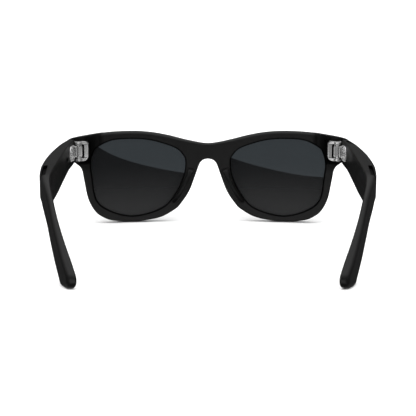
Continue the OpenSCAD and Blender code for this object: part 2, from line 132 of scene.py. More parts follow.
FRONT_HALF = [
    (0, 41.3), (4.2, 41.7), (12.2, 43.4), (21.7, 45.8), (31.1, 47.4), (40.6, 47.9),
    (52.5, 47.4), (63.6, 45.8), (70.6, 44.4), (72.7, 43.2), (73.3, 40.6), (73.1, 36.4),
    (71.8, 33.4), (69, 31.3), (65.95, 28.2), (64.8, 22.8), (62.95, 13.3), (60.2, 7.2),
    (56.5, 3.4), (50.1, 0.7), (39.2, 0), (31, 0.8), (23.8, 2.6), (17.3, 6.3), (14.5, 9),
    (9.8, 16), (6.15, 25.6), (4.3, 30.5), (2.4, 32.4), (0, 32.9),
]
LENS_POINTS = [
    (39.7, 43.6), (30.6, 42.9), (22.6, 40.8), (16.6, 38.4), (13.6, 35.6), (12, 32.2),
    (12.7, 25.1), (16.9, 15.7), (24, 7.6), (38.2, 3.35), (50.1, 5.7), (58.1, 11.8),
    (60.5, 25.1), (61, 30.8), (59.8, 36.1), (57.5, 39.4), (50.1, 42.9),
]
PAD_POINTS = [
    (7.3, 26.9), (8.2, 25), (10.3, 20.8), (13, 15.6), (15.6, 11.4), (17.8, 9.6),
    (19.1, 10.8), (16.4, 14.6), (13.9, 19), (11.6, 23.5), (10.9, 26.5), (10.4, 28.2),
]
PAD_REACH = [
    (2, 28.8), (-0.4, 28.6), (-2.6, 27.2), (-4.2, 23), (-4.6, 18.5), (-3.6, 13.5),
    (-1.4, 10.2), (2, 9.2),
]
OUTER_POINTS = [
    (TEMPLE_Y, 72.9), (-22, 74.4), (-35, 75.5), (-47, 76.4), (-58, 76.8), (-70, 76.8),
    (-82, 76.4), (-92, 75.6), (-97, 74.8), (-100, 74.1), (-104, 73), (-108, 71.6),
    (-112, 70.2), (-116, 68.8), (-120, 67.4), (-125, 65.6), (-130, 63.6), (-135, 61.5),
    (-140, 59), (-143, 57.5),
]
INNER_POINTS = [
    (TEMPLE_Y, 68.75), (-16, 68.85), (-22, 69.36), (-28, 69.82), (-36, 70), (-46, 70.1),
    (-56, 70.2), (-74, 70.2), (-86, 70.1), (-92, 70), (-100, 69.8), (-106, 68.9),
    (-110, 67.8), (-115, 66.1), (-120, 64.2), (-125, 62), (-130, 59.6), (-135, 57),
    (-140, 54.6), (-143, 53.2),
]
TOP_AT_ZERO = 45.64
TOP_SLOPE = 0.04
BACK_LINE = 147.0
LOW_LINE = BACK_LINE - 10.4 * math.sqrt(2)
EAR_BEND_R = 30.0
BOTTOM_POINTS = [
    (TEMPLE_Y, 33.0), (-27, 31.6), (-42, 30.2), (-66, 28.1), (-80, 27.5), (-91, 27.3),
    (-97, 27.25), (-102, 26.3), (-106.5, 24.1), (-111, LOW_LINE - 111.2),
    (-116, LOW_LINE - 116), (-124, LOW_LINE - 124),
]
TIP_BACK_R = 4.1
TIP_LOW_R = 2.5

# The end piece seen from above, run on past the front
END_PLAN = [
    (57, -5.2), (58.5, -6.3), (60, -7.9), (61.6, -9.8), (63.5, -11.2), (66.5, -12),
    (66.5, -30), (90, -30), (90, -2), (75, 6), (57, 6),
]
# The reflection card, its upper edge as (x, height)
CARD_Y = -370.0
CARD_LOW = -170.0
CARD_LEVEL = 0.76
CARD_EDGE = [
    (-300, 14), (-220, 14), (-140, 13.3), (-100, 12.9), (-60, 9), (-20, 2.2), (20, -7.4),
    (60, -20.7), (100, -39.2), (140, -65.5), (180, -96), (240, -150), (280, -169),
]
CAMERA_AT = (0, -620, 130)
CAMERA_TURN = math.radians(78.77)
CAMERA_LENS = 103.3

pin_low, pin_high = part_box("left_hinge_pin")
SHIFT = (pin_low.y + pin_high.y) / 2 / MM - AXIS_Y
LIFT = (TILT_PIVOT * math.cos(TILT)
        + (FRONT_T - BOTTOM_U ** 2 / (2 * WRAP_R)) * math.sin(TILT))


# ---------------------------------------------------------------- curves
def spline(points, steps, closed):
    """A smooth curve through the points."""
    p = np.array(points, float)
    n = len(p)
    t = np.arange(steps)[:, None] / steps
    out = []
    for i in range(n if closed else n - 1):
        ids = [i - 1, i, i + 1, i + 2]
        ids = [k % n for k in ids] if closed else [min(max(k, 0), n - 1) for k in ids]
        a, b, c, d = p[ids]
        out.append(0.5 * (2 * b + (c - a) * t + (2 * a - 5 * b + 4 * c - d) * t ** 2
                          + (3 * b - a - 3 * c + d) * t ** 3))
    if not closed:
        out.append(p[-1:])
    return np.concatenate(out)


def arc(centre, radius, start, end, steps):
    angles = np.radians(np.linspace(start, end, steps))
    return np.stack([centre[0] + radius * np.cos(angles),
                     centre[1] + radius * np.sin(angles)], 1)


class Outline:
    """Signed distance to a closed outline, negative inside, kept on a fine grid."""

    def __init__(self, points, reach=6.0, step=0.125):
        p = np.array(points, float)
        q = np.roll(p, -1, 0)
        self.step = step
        self.lo = p.min(0) - reach
        size = np.ceil((p.max(0) + reach - self.lo) / step).astype(int) + 2
        axes = [self.lo[k] + step * np.arange(size[k]) for k in range(2)]
        grid = np.full(size, reach)
        for start, end in zip(p, q):
            along = end - start
            if along @ along == 0:
                continue
            first = np.floor((np.minimum(start, end) - reach - self.lo) / step)
            last = np.ceil((np.maximum(start, end) + reach - self.lo) / step) + 1
            i0, j0 = np.maximum(first, 0).astype(int)
            i1, j1 = np.minimum(last, size).astype(int)
            a = axes[0][i0:i1, None] - start[0]
            b = axes[1][None, j0:j1] - start[1]
            h = np.clip((a * along[0] + b * along[1]) / (along @ along), 0, 1)
            part = grid[i0:i1, j0:j1]
            np.minimum(part, np.hypot(a - h * along[0], b - h * along[1]), out=part)
        for j, b in enumerate(axes[1]):
            over = (p[:, 1] <= b) != (q[:, 1] <= b)
            run = (q - p)[over]
            cuts = np.sort(p[over, 0] + (b - p[over, 1]) * run[:, 0] / run[:, 1])
            grid[np.searchsorted(cuts, axes[0]) % 2 == 1, j] *= -1
        self.grid = grid
        self.top = size - 1.001

    def __call__(self, a, b):
        fa = np.clip((a - self.lo[0]) / self.step, 0, self.top[0])
        fb = np.clip((b - self.lo[1]) / self.step, 0, self.top[1])
        i = fa.astype(int)
        j = fb.astype(int)
        fa -= i
        fb -= j
        g = self.grid
        return ((g[i, j] * (1 - fa) + g[i + 1, j] * fa) * (1 - fb)
                + (g[i, j + 1] * (1 - fa) + g[i + 1, j + 1] * fa) * fb)


class Line:
    """A curve u(y), and the distance from it."""

    def __init__(self, points):
        curve = spline(points, 10, False)
        curve = curve[np.argsort(curve[:, 0])]
        self.y = np.arange(-150.0, 0.0, 0.25)
        run = (curve[1] - curve[0])[1] / (curve[1] - curve[0])[0]
        self.u = np.interp(self.y, curve[:, 0], curve[:, 1])
        behind = self.y < curve[0, 0]
        self.u[behind] = curve[0, 1] + run * (self.y[behind] - curve[0, 0])
        self.cosine = 1 / np.sqrt(1 + np.gradient(self.u, self.y) ** 2)

    def __call__(self, y):
        return np.interp(y, self.y, self.u)

    def past(self, u, y):
        return (u - self(y)) * np.interp(y, self.y, self.cosine)


# ---------------------------------------------------------------- distance fields
def both(a, b, r=0.0):
    """Where both solids are, with the edge between them rounded."""
    if not np.any(r):
        return np.maximum(a, b)
    x = np.maximum(a + r, 0)
    y = np.maximum(b + r, 0)
    return np.minimum(np.maximum(a, b), -r) + np.hypot(x, y)


def either(a, b, r=0.0):
    """Both solids together, with the corner between them filled."""
    return np.minimum(a, b) if not r else -both(-a, -b, r)


def block(p, u, y, z, r=0.0):
    """A box with rounded edges."""
    lo = np.array([u[0], y[0], z[0]])
    hi = np.array([u[1], y[1], z[1]])
    q = np.abs(p - (lo + hi) / 2) - ((hi - lo) / 2 - r)
    return (np.sqrt((np.maximum(q, 0) ** 2).sum(1))
            + np.minimum(q.max(1), 0) - r)


def rod(p, axis, centre, ends, radius, r=0.0):
    """A round rod along one axis; centre holds its place on the other two."""
    others = [k for k in range(3) if k != axis]
    side = np.hypot(p[:, others[0]] - centre[0], p[:, others[1]] - centre[1]) - radius
    end = np.abs(p[:, axis] - (ends[0] + ends[1]) / 2) - (ends[1] - ends[0]) / 2
    return both(side, end, r)


def unleaned(p):
    """Points in the front's own frame, before it leans."""
    y = p[:, 1]
    z = p[:, 2] - LIFT
    return np.stack([p[:, 0], y * math.cos(TILT) - z * math.sin(TILT),
                     y * math.sin(TILT) + z * math.cos(TILT) + TILT_PIVOT], 1)


def leaned(p):
    y = p[:, 1]
    w = p[:, 2] - TILT_PIVOT
    return np.stack([p[:, 0], y * math.cos(TILT) + w * math.sin(TILT),
                     LIFT - y * math.sin(TILT) + w * math.cos(TILT)], 1)


def wrapped(p):
    """How far in front of the rims' back face a point lies."""
    return np.hypot(p[:, 0], p[:, 1] + WRAP_R) - WRAP_R


def wrap_y(u):
    return -u * u / (2 * WRAP_R)


front_full = FRONT_HALF + [(-u, w) for u, w in FRONT_HALF[-2:0:-1]]
front_map = Outline(spline(front_full, 9, True))
lens_curve = spline(LENS_POINTS, 16, True)
lens_map = Outline(lens_curve)
pad_map = Outline(spline(PAD_POINTS, 8, True))
reach_map = Outline(spline(PAD_REACH, 10, True))
end_map = Outline(END_PLAN)
outer = Line(OUTER_POINTS)
inner = Line(INNER_POINTS)
bottom_curve = spline(BOTTOM_POINTS, 10, False)
bottom_line = bottom_curve[np.argsort(bottom_curve[:, 0])]


def top_z(y):
    return TOP_AT_ZERO + TOP_SLOPE * y


def bottom_z(y):
    return np.interp(y, bottom_line[:, 0], bottom_line[:, 1])


def temple_profile():
    """The temple seen from the side, run on past its front end."""
    top_angle = 90 + math.degrees(math.atan(TOP_SLOPE))
    corner_y = (TOP_AT_ZERO - BACK_LINE) / (1 - TOP_SLOPE)
    corner = np.array([corner_y, corner_y + BACK_LINE])
    n0, n1 = (np.array([math.cos(math.radians(a)), math.sin(math.radians(a))])
              for a in (top_angle, 135))
    centre = corner - EAR_BEND_R * (n0 + n1) / (1 + n0 @ n1)
    back = (TIP_BACK_R * (1 + math.sqrt(2)) - BACK_LINE, TIP_BACK_R)
    low = (TIP_LOW_R * (1 - math.sqrt(2)) - LOW_LINE, TIP_LOW_R)
    return np.concatenate([
        [(-4.0, top_z(-4.0))],
        arc(centre, EAR_BEND_R, top_angle, 135, 40),
        arc(back, TIP_BACK_R, 135, 270, 30),
        arc(low, TIP_LOW_R, 270, 315, 12),
        bottom_curve[::-1],
        [(-4.0, 35.3)],
    ])


side_map = Outline(temple_profile())
lens_turn = math.atan((wrap_y(LENS_U - LENS_W / 2) - wrap_y(LENS_U + LENS_W / 2)) / LENS_W)
lens_mid_y = ((wrap_y(LENS_U - LENS_W / 2) + wrap_y(LENS_U + LENS_W / 2)) / 2
              + LENS_W ** 2 / (8 * LENS_R) + FRONT_T / 2)
LENS_CENTRE = np.array([LENS_U - LENS_R * math.sin(lens_turn),
                        lens_mid_y - LENS_R * math.cos(lens_turn), LENS_MID])


def front_field(p):
    """The rims, bridge and end pieces in one."""
    pipe = rod(unleaned(p), 1, (PIPE_U, PIPE_W), (-14, -3.8), PIPE_R)
    p = np.stack([np.abs(p[:, 0]), p[:, 1], p[:, 2]], 1)
    q = unleaned(p)
    t = wrapped(q)
    u, w = q[:, 0], q[:, 2]
    edge = front_map(u, w)
    crown = 0.9 + 1.1 * np.clip((w - 38) / 6, 0, 1)
    plate = both(edge, np.abs(t - FRONT_T / 2) - FRONT_T / 2, crown)
    plan = end_map(p[:, 0], p[:, 1])
    tail = both(both(edge, t - FRONT_T, 0.9), plan, 0.5)
    tail = both(tail, END_LOW - p[:, 2], 1.8)
    body = either(plate, tail, 3.0)
    body = both(body, edge, 0.3)
    body = both(body, t - FRONT_T, 0.3)
    body = both(body, -12.0 - p[:, 1], 0.15)
    hole = lens_map(u, w)
    body = both(body, -hole, 0.5)
    lens = np.abs(np.sqrt(((q - LENS_CENTRE) ** 2).sum(1)) - LENS_R) - LENS_T / 2 - GAP
    body = np.maximum(body, -both(hole - GROOVE - GAP, lens))
    window = np.hypot(u - WINDOW_U, w - WINDOW_W) - WINDOW_R - GAP
    body = both(body, -both(window, BORE_END - q[:, 1]), 0.2)
    pocket = block(p, (WEB_U - 0.1, 80), (-20, BRACKET_Y),
                   (HINGE_Z - HINGE_H / 2 - 0.1, HINGE_Z + HINGE_H / 2 + 0.1), 1.5)
    pocket = np.maximum(pocket, p[:, 0] - POCKET_U)
    body = both(body, -pocket, 0.1)
    contact = rod(np.abs(q), 2, (CONTACT_U, CONTACT_U), (30, 35.6), CONTACT_R)
    return np.maximum(body, -np.minimum(pipe, contact))


def pad_field(p):
    """A nose pad, which grows out of the rim's back face."""
    q = unleaned(p)
    body = both(pad_map(q[:, 0], q[:, 2]), reach_map(q[:, 1], q[:, 2]), 0.9)
    return np.maximum(body, wrapped(q) + GAP)


def temple_body(p):
    u, y, z = p.T
    near = np.clip((y + 32) / 20, 0, 1)
    far = np.clip((-96 - y) / 16, 0, 1)
    side = side_map(y, z)
    swell = np.interp(y, (-118, -100, -92, -80), (1.6, 2.4, 2.1, 0.8))
    swell = swell + np.interp(y, (-108, -100, -92, -84), (0, 1.6, 1.6, 0)) * (z < 34)
    out = both(side, outer.past(u, y), swell + 1.1 * near)
    body = both(out, -inner.past(u, y), 0.6 + 0.7 * far)
    return both(body, y - TEMPLE_Y, 0.12)


def side_window(y, z, y0, y1, low, high):
    return np.maximum.reduce([z - top_z(y) + high, bottom_z(y) + low - z, y - y0, y1 - y])


def stadium(p, d):
    run = (BUTTON_LEN - BUTTON_W) / 2
    along = np.maximum(np.abs(p[:, 1] - BUTTON_Y) - run, 0)
    return np.hypot(p[:, 0] - BUTTON_U, along) - BUTTON_W / 2 - d


def slot_shape(p, d):
    """The long narrow slots over and under a speaker, in line with the outer face."""
    u = p[:, 0] - SLOT_U
    y = p[:, 1] - SLOT_Y
    across = np.abs(u * math.cos(SLOT_TURN) + y * math.sin(SLOT_TURN)) - SLOT_W / 2
    along = np.abs(y * math.cos(SLOT_TURN) - u * math.sin(SLOT_TURN)) - SLOT_LEN / 2
    return both(across, along, 0.4) - d


def cover_window(p, d):
    return side_window(p[:, 1], p[:, 2], CAVITY_FRONT - 1.4 + d, CAVITY_REAR + 1.4 - d,
                       FLOOR_T - 0.5 - d, ROOF_T - 0.4 - d)


def shell_field(side):
    def field(p):
        u, y, z = p.T
        body = temple_body(p)
        inside = np.maximum.reduce([
            side_window(y, z, CAVITY_FRONT, CAVITY_REAR, FLOOR_T, ROOF_T),
            COVER_T - 0.5 - inner.past(u, y), outer.past(u, y) + WALL])
        rebate = np.maximum(cover_window(p, 0.09), inner.past(u, y) - COVER_T - GAP)
        cut = np.minimum(inside, rebate)
        slots = np.maximum(slot_shape(p, 0), np.minimum(SLOT_TOP - z, z - SLOT_LOW))
        cut = np.minimum(cut, rod(p, 2, (MIC_U, MIC_Y), (20, 36), MIC_R))
        screw = rod(turned(p), 0, (SCREW_Y, HINGE_Z), (60, SCREW_END), SCREW_R + 0.02)
        cut = np.minimum(cut, screw)
        if side == RIGHT:
            cut = np.minimum(cut, np.maximum(stadium(p, 0.18), BUTTON_FLOOR - z))
        body = both(body, -slots, 0.12)
        return both(body, -cut, 0.06)
    return field


def cover_field(side):
    def field(p):
        u, y, z = p.T
        plate = np.abs(inner.past(u, y) - COVER_T / 2) - COVER_T / 2
        body = both(cover_window(p, 0.0), plate, 0.12)
        if side == LEFT:
            slot = block(p, (60, 75), (SWITCH_Y - 2.25, SWITCH_Y + 2.25),
                         (SWITCH_Z - 0.9, SWITCH_Z + 0.9), 0.3)
            body = both(body, -slot, 0.15)
        return body
    return field


def bracket_field(p):
    """The steel bracket: a bar with an ear above and an ear below the knuckle."""
    u, y, z = p.T
    low, high = HINGE_Z - HINGE_H / 2, HINGE_Z + HINGE_H / 2
    web = block(p, (WEB_U, WEB_U + WEB_T), (AXIS_Y - 0.3, BRACKET_Y - GAP), (low, high), 0.3)
    plan = ear_map(u, y)
    mid = np.abs(z - HINGE_Z)
    ear = both(plan, np.abs(mid - (HINGE_H - EAR_T) / 2) - EAR_T / 2, 0.25)
    body = either(web, ear, 0.3)
    corner = block(p, (WEB_U, AXIS_U + 40), (-40, 10), (low, high), 2.5)
    body = both(body, corner, 0.25)
    dowels = np.hypot(u - WEB_U - WEB_T / 2, mid - DOWEL_Z) - DOWEL_R
    body = np.minimum(body, np.maximum(dowels, np.abs(y - BRACKET_Y - 1) - 1.5))
    hole = np.hypot(u - AXIS_U, y - AXIS_Y)
    body = both(body, PIN_R + 0.02 - hole, 0.05)
    return both(body, -np.maximum(hole - 1.25, high - 0.6 - z), 0.1)


ear_map = Outline(np.concatenate([
    [(WEB_U, BRACKET_Y - 0.5), (WEB_U, AXIS_Y - 0.3), (AXIS_U - 1.8, AXIS_Y - 1.1)],
    arc((AXIS_U, AXIS_Y), EAR_R, 210, 360, 40),
    [(AXIS_U + EAR_R, BRACKET_Y - 0.5)],
]), reach=3.0, step=0.05)


def pin_field(p):
    low, high = HINGE_Z - HINGE_H / 2, HINGE_Z + HINGE_H / 2 - 0.1
    stem = rod(p, 2, (AXIS_U, AXIS_Y), (low, high), PIN_R)
    head = rod(p, 2, (AXIS_U, AXIS_Y), (high - 0.45, high), PIN_HEAD_R, 0.12)
    slot = block(p, (AXIS_U - 0.14, AXIS_U + 0.14), (AXIS_Y - 3, AXIS_Y + 3), (high - 0.2, 60))
    return np.maximum(np.minimum(stem, head), -slot)


def turned(p):
    """Points in the flange's own frame, before it turns outwards with the temple."""
    u = p[:, 0] - FLANGE_U
    y = p[:, 1] - FLANGE_Y
    c, s = math.cos(FLANGE_TURN), math.sin(FLANGE_TURN)
    return np.stack([u * c + y * s + FLANGE_U, y * c - u * s + FLANGE_Y, p[:, 2]], 1)


def knuckle_field(p):
    """The barrel round the pin, with the oval flange on the temple."""
    u, y, z = p.T
    half = (HINGE_H - 2 * EAR_T - 0.2) / 2
    turn = np.hypot(u - AXIS_U, y - AXIS_Y)
    barrel = rod(p, 2, (AXIS_U, AXIS_Y), (HINGE_Z - half, HINGE_Z + half), BARREL_R, 0.25)
    arm = block(p, (AXIS_U + 0.7, FLANGE_U + FLANGE_T), (FLANGE_Y - 0.5, AXIS_Y),
                (HINGE_Z - ARM_HALF, HINGE_Z + ARM_HALF), 0.25)
    run = (FLANGE_Y - FLANGE_REAR - FLANGE_H) / 2
    mid_y = (FLANGE_Y + FLANGE_REAR) / 2
    fu, fy, fz = turned(p).T
    oval = np.hypot(np.maximum(np.abs(fy - mid_y) - run, 0), fz - HINGE_Z) - FLANGE_H / 2
    plate = both(oval, np.abs(fu - FLANGE_U - FLANGE_T / 2) - FLANGE_T / 2, 0.25)
    panel = block(p, (AXIS_U - 2, AXIS_U + 0.7), (AXIS_Y - 1.75, AXIS_Y - 0.5),
                  (HINGE_Z - PANEL_H / 2, HINGE_Z + PANEL_H / 2), 0.2)
    groove = np.hypot(u - AXIS_U - 0.15, y - AXIS_Y + 1.8) - 0.26
    panel = both(panel, -groove, 0.05)
    body = either(either(barrel, arm, 0.2), plate, 0.3)
    body = np.minimum(body, panel)
    body = both(body, PIN_R + 0.04 - turn, 0.05)
    screw = np.hypot(fy - SCREW_Y, fz - HINGE_Z)
    recess = np.maximum(screw - 1.5, fu - FLANGE_U - 0.45)
    dish = np.maximum.reduce([oval + 0.7, fu - FLANGE_U - 0.4, fy + 16.9])
    body = both(body, -dish, 0.1)
    return both(body, -np.minimum(recess, screw - 0.75), 0.08)


def screw_field(p):
    p = turned(p)
    centre = (SCREW_Y, HINGE_Z)
    head = rod(p, 0, centre, (FLANGE_U - 0.1, FLANGE_U + 0.4), SCREW_HEAD_R, 0.12)
    stem = rod(p, 0, centre, (FLANGE_U, SCREW_END - 0.1), SCREW_R, 0.1)
    y = np.abs(p[:, 1] - SCREW_Y)
    z = np.abs(p[:, 2] - HINGE_Z)
    cross = np.maximum(np.minimum(np.maximum(y - 0.18, z - 0.85), np.maximum(z - 0.18, y - 0.85)),
                       p[:, 0] - FLANGE_U - 0.15)
    return both(np.minimum(head, stem), -cross, 0.04)


def button_field(p):
    z = p[:, 2]
    dish = np.hypot(np.hypot(p[:, 0] - BUTTON_U, 0.35 * (p[:, 1] - BUTTON_Y)), z - BUTTON_TOP - 7.8)
    body = both(stadium(p, -GAP), np.abs(z - 43.75) - 0.85, 0.22)
    return both(body, 8.0 - dish, 0.1)


def slider_field(p):
    y1 = SWITCH_Y + 2.1
    y0 = y1 - SLIDER_LEN
    knob = block(p, (69.5, 71.15), (y0, y1), (SWITCH_Z - 0.8, SWITCH_Z + 0.8), 0.2)
    ribs = 0.12 * np.sin(2 * math.pi * (p[:, 1] - y0) / 0.65)
    knob = np.maximum(knob, 69.65 + ribs - p[:, 0])
    plate = block(p, (71.1, 71.5), (y0 - 0.9, y1 + 0.9), (SWITCH_Z - 1.7, SWITCH_Z + 1.7), 0.1)
    stem = block(p, (71.45, 71.95), (y0 + 0.4, y1 - 0.4), (SWITCH_Z - 0.5, SWITCH_Z + 0.5))
    return np.minimum(np.minimum(knob, plate), stem)


def window_field(p):
    """A round window with a thin polished bevel, as curved as the front."""
    q = unleaned(p)
    disc = np.hypot(q[:, 0] - WINDOW_U, q[:, 2] - WINDOW_W) - WINDOW_R
    return both(disc, np.abs(wrapped(q) - FRONT_T + 0.5) - 0.4, 0.18)


def barrel_field(p):
    """The camera's barrel: stepped rings that lead in to its small front glass."""
    q = unleaned(p)
    ring = np.hypot(q[:, 0] - WINDOW_U, q[:, 2] - WINDOW_W)
    y = q[:, 1]
    body = both(ring - 2.9, np.abs(y + 6.05) - 1.35, 0.15)
    body = np.minimum(body, both(ring - 3.4, np.abs(y + 7.0) - 0.4, 0.1))
    for radius, depth in ((2.3, -5.0), (1.8, -5.35), (1.35, -5.75)):
        body = both(body, -np.maximum(ring - radius, depth - y), 0.06)
    return body


# ---------------------------------------------------------------- meshes from fields
CORNERS = np.array([(i, j, k) for i in (0, 1) for j in (0, 1) for k in (0, 1)])
ROUND = ((0, 1, 2), (1, 2, 0), (2, 0, 1))
BLOCK = 6
PULL = 0.03


def sampled(field, lo, cell, shape):
    """The field on a grid: exact near the surface, and only its sign elsewhere."""
    counts = -(-np.array(shape) // BLOCK)
    ids = np.indices(counts).reshape(3, -1).T
    mid = field(lo + (ids + 0.5) * BLOCK * cell)
    near = np.abs(mid) < BLOCK * cell * 1.25
    values = mid.reshape(counts)
    for axis in range(3):
        values = np.repeat(values, BLOCK, axis)
    values = np.ascontiguousarray(values[:shape[0], :shape[1], :shape[2]])
    steps = np.indices((BLOCK,) * 3).reshape(3, -1).T
    for part in np.array_split(ids[near], max(1, near.sum() // 2000)):
        nodes = (part[:, None, :] * BLOCK + steps[None]).reshape(-1, 3)
        nodes = nodes[(nodes < shape).all(1)]
        values[tuple(nodes.T)] = field(lo + nodes * cell)
    return values


def gradient(field, p, step=0.01):
    out = np.empty_like(p)
    for axis in range(3):
        move = np.zeros(3)
        move[axis] = step
        out[:, axis] = field(p + move) - field(p - move)
    return out / np.maximum(np.linalg.norm(out, axis=1, keepdims=True), 1e-9)


def surface(field, lo, hi, cell):
    """Corner points and quads of the field's zero surface, with crisp edges kept."""
    lo = np.array(lo, float) - 1.6 * cell
    shape = tuple(np.ceil((np.array(hi) + 1.6 * cell - lo) / cell).astype(int) + 1)
    values = sampled(field, lo, cell, shape)
    inside = values < 0
    count = np.zeros([n - 1 for n in shape], np.uint8)
    for i, j, k in CORNERS:
        count += inside[i:shape[0] - 1 + i, j:shape[1] - 1 + j, k:shape[2] - 1 + k]
    active = (count > 0) & (count < 8)
    number = np.full(active.shape, -1, np.int64)
    total = int(active.sum())
    number[active] = np.arange(total)
    cells = np.argwhere(active)
    normal_sum = np.zeros((total, 3, 3))
    target_sum = np.zeros((total, 3))
    point_sum = np.zeros((total, 3))
    hits = np.zeros(total)
    quads = []
    for axis, second, third in ROUND:
        start = [slice(None)] * 3
        end = [slice(None)] * 3
        start[axis] = slice(None, -1)
        end[axis] = slice(1, None)
        crossed = inside[tuple(start)] != inside[tuple(end)]
        at = np.argwhere(crossed)
        step = np.zeros(3, int)
        step[axis] = 1
        v0 = values[tuple(at.T)]
        v1 = values[tuple((at + step).T)]
        point = at + (v0 / (v0 - v1))[:, None] * step
        normal = gradient(field, lo + point * cell)
        ring = []
        for a, b in ((1, 1), (0, 1), (0, 0), (1, 0)):
            move = np.zeros(3, int)
            move[second] = a
            move[third] = b
            ring.append(number[tuple((at - move).T)])
        ring = np.stack(ring, 1)
        away = (normal * point).sum(1)
        for column in ring.T:
            np.add.at(normal_sum, column, normal[:, :, None] * normal[:, None, :])
            np.add.at(target_sum, column, normal * away[:, None])
            np.add.at(point_sum, column, point)
            np.add.at(hits, column, 1)
        flip = v0 > 0
        ring[flip] = ring[flip][:, ::-1]
        quads.append(ring)
    middle = point_sum / hits[:, None]
    pull = PULL * hits[:, None, None] * np.eye(3)
    right_side = target_sum - (normal_sum @ middle[:, :, None])[:, :, 0]
    move = np.linalg.solve(normal_sum + pull, right_side[:, :, None])[:, :, 0]
    spot = np.clip(middle + move, cells - 0.1, cells + 1.1)
    return lo + spot * cell, np.concatenate(quads)


def bend(field, p, reach):
    """How strongly the surface bends outwards at each point; inward bends are negative."""
    total = -6 * field(p)
    for axis in range(3):
        move = np.zeros(3)
        move[axis] = reach
        total += field(p + move) + field(p - move)
    return total / reach ** 2


def edge_share(field, p):
    """How much of a rubbed outer edge a point is on, from 0 to 1."""
    return np.clip(bend(field, p, 0.45) / 1.4, 0, 1)


def crevice_painted_shade(field, others, p):
    """Painted shade: how deep in a corner, or how near to a neighbour, a point lies, from 0 to 1.
    """
    share = -bend(field, p, 0.3) / 2.2
    for other in others:
        share = np.maximum(share, 1.15 - other(p) / 0.3)
    return np.clip(share, 0, 1)


def opening_painted_shade(p):
    """Painted shade: how near a point of the front is to a lens opening or a hinge's corner, 0 to
    1.
    """
    q = unleaned(p)
    u = np.abs(q[:, 0])
    aside = np.maximum(np.abs(u - 64) - 2.5, 0)
    above = np.maximum(np.abs(q[:, 2] - 37.5) - 4, 0)
    rear = np.clip((2.5 - wrapped(q)) / 1.5, 0, 1)
    # painted shade round the hinge's corner on the rear face
    corner = np.clip(0.95 - np.hypot(aside, above) / 8, 0, 1) * rear
    # painted shade on the walls and edges of the lens openings
    return np.maximum(np.clip(2.4 - lens_map(u, q[:, 2]) / 0.35, 0, 1), corner)


def slot_painted_shade(p):
    """Painted shade: how far inside a speaker slot a point of the temple lies, from 0 to 1."""
    return np.clip(1 - slot_shape(p, 0) / 0.12, 0, 1)


def make_mesh(name, points, faces, edge=None, crease=35.0):
    """A smooth-shaded object in the row frame from points in mm."""
    mesh = bpy.data.meshes.new(name)
    faces = np.asarray(faces, np.int32)
    mesh.vertices.add(len(points))
    mesh.vertices.foreach_set("co", ((points + (0, SHIFT, 0)) * MM).ravel())
    mesh.loops.add(faces.size)
    mesh.loops.foreach_set("vertex_index", faces.ravel())
    mesh.polygons.add(len(faces))
    mesh.polygons.foreach_set("loop_start", np.arange(len(faces)) * faces.shape[1])
    mesh.polygons.foreach_set("use_smooth", np.ones(len(faces), bool))
    mesh.update(calc_edges=True)
    mesh.validate()
    mesh.set_sharp_from_angle(angle=math.radians(crease))
    obj = bpy.data.objects.new(name, mesh)
    if edge is not None:
        mark(obj, "edge", edge)
    bpy.context.scene.collection.objects.link(obj)
    return obj


def mark(obj, name, shares):
    """Keep a share for each point, which a finish can read."""
    layer = obj.data.attributes.new(name, "FLOAT", "POINT")
    layer.data.foreach_set("value", shares.astype(np.float32))


def place(obj, mat, body, slot, *nodes):
    obj.data.materials.append(mat)
    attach(obj, body)
    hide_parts(*nodes)
    return obj


def mirrored(points, faces):
    return points * (-1, 1, 1), faces[:, ::-1]


def solid(field, lo, hi, cell):
    """Points, faces and edge shares of a field on the right side."""
    points, faces = surface(field, lo, hi, cell)
    return points, faces, edge_share(field, points)


def piece(name, shape, side, mat, body, slot, *nodes):
    points, faces, edge = shape
    if side == LEFT:
        points, faces = mirrored(points, faces)
    return place(make_mesh(name, points, faces, edge), mat, body, slot, *nodes)


# ---------------------------------------------------------------- materials
def nodes_of(mat):
    mat.use_nodes = True
    tree = mat.node_tree
    return tree, tree.nodes["Principled BSDF"]


def add(tree, kind, **values):
    node = tree.nodes.new(kind)
    for key, value in values.items():
        if key in node.inputs:
            node.inputs[key].default_value = value
        else:
            setattr(node, key.replace("set_", ""), value)
    return node


def ramp(tree, source, low, high, out_low, out_high):
    node = add(tree, "ShaderNodeMapRange")
    node.inputs["From Min"].default_value = low
    node.inputs["From Max"].default_value = high
    node.inputs["To Min"].default_value = out_low
    node.inputs["To Max"].default_value = out_high
    tree.links.new(source, node.inputs["Value"])
    return node.outputs["Result"]


def mix_colour(tree, factor, a, b):
    node = tree.nodes.new("ShaderNodeMix")
    node.data_type = "RGBA"
    tree.links.new(factor, node.inputs["Factor"])
    for value, socket in ((a, node.inputs["A"]), (b, node.inputs["B"])):
        if isinstance(value, tuple):
            socket.default_value = (*value, 1)
        else:
            tree.links.new(value, socket)
    return node.outputs["Result"]


def noise(tree, coords, scale, detail=2.0, rough=0.5):
    node = add(tree, "ShaderNodeTexNoise", Scale=scale, Detail=detail, Roughness=rough)
    tree.links.new(coords, node.inputs["Vector"])
    return node.outputs["Fac"]


def coords_of(tree, stretch=None):
    coords = tree.nodes.new("ShaderNodeTexCoord").outputs["Object"]
    if stretch is None:
        return coords
    node = tree.nodes.new("ShaderNodeMapping")
    node.inputs["Scale"].default_value = stretch
    tree.links.new(coords, node.inputs["Vector"])
    return node.outputs["Vector"]


